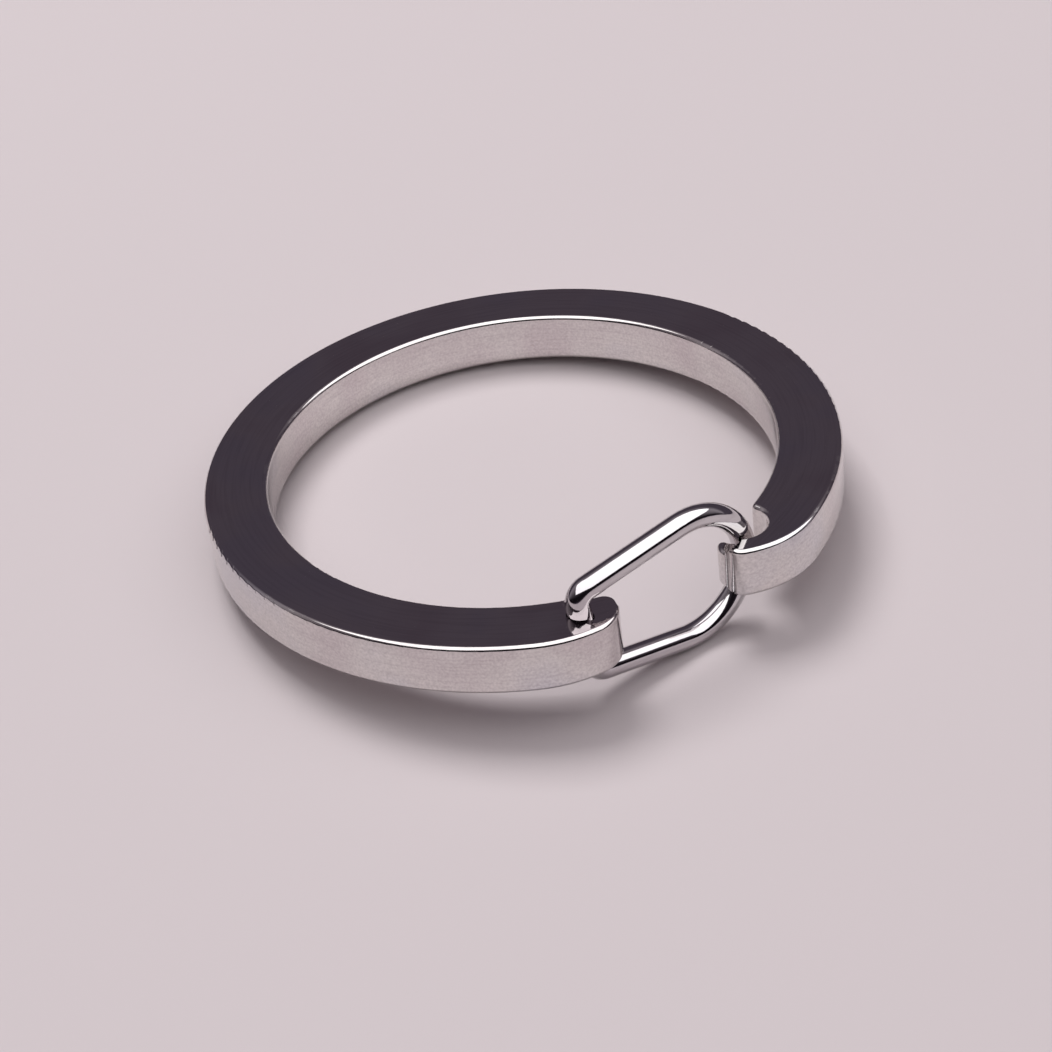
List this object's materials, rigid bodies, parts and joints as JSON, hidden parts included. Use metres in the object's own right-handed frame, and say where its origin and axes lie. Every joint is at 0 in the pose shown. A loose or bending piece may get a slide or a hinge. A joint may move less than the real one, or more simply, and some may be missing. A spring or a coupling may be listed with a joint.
{
  "type": "spring gate ring",
  "caption": "Flat C-shaped steel ring whose gap is closed by a sprung wire gate that opens inwards, for clipping on a strap, cord or key.",
  "frame": {"origin": "centre of the ring, on its axis, at mid thickness", "axes": "+Z along the ring's axis, out of the face on which the gate's pivot is left of its latch when the gap is nearest the viewer; -Y from the centre towards the gap; +X from the pivot side to the latch side"},
  "size_m": [0.04, 0.0386, 0.0096],
  "materials": {
    "ring_steel": "mirror-polished stainless steel",
    "wire_steel": "bright polished spring wire"
  },
  "bodies": {
    "ring": {"ring_body": "ring_steel"},
    "gate": {"wire_gate": "wire_steel"}
  },
  "joints": [
    {"name": "gate_hinge", "type": "hinge", "parent": "ring", "child": "gate", "pos_m": [-0.00535, -0.01661, 0], "axis": [-0.1491, -0.0143, 0.9887], "range_deg": [0, 35], "stiffness_Nm_per_rad": 0.04, "springref_deg": -20.05}
  ]
}
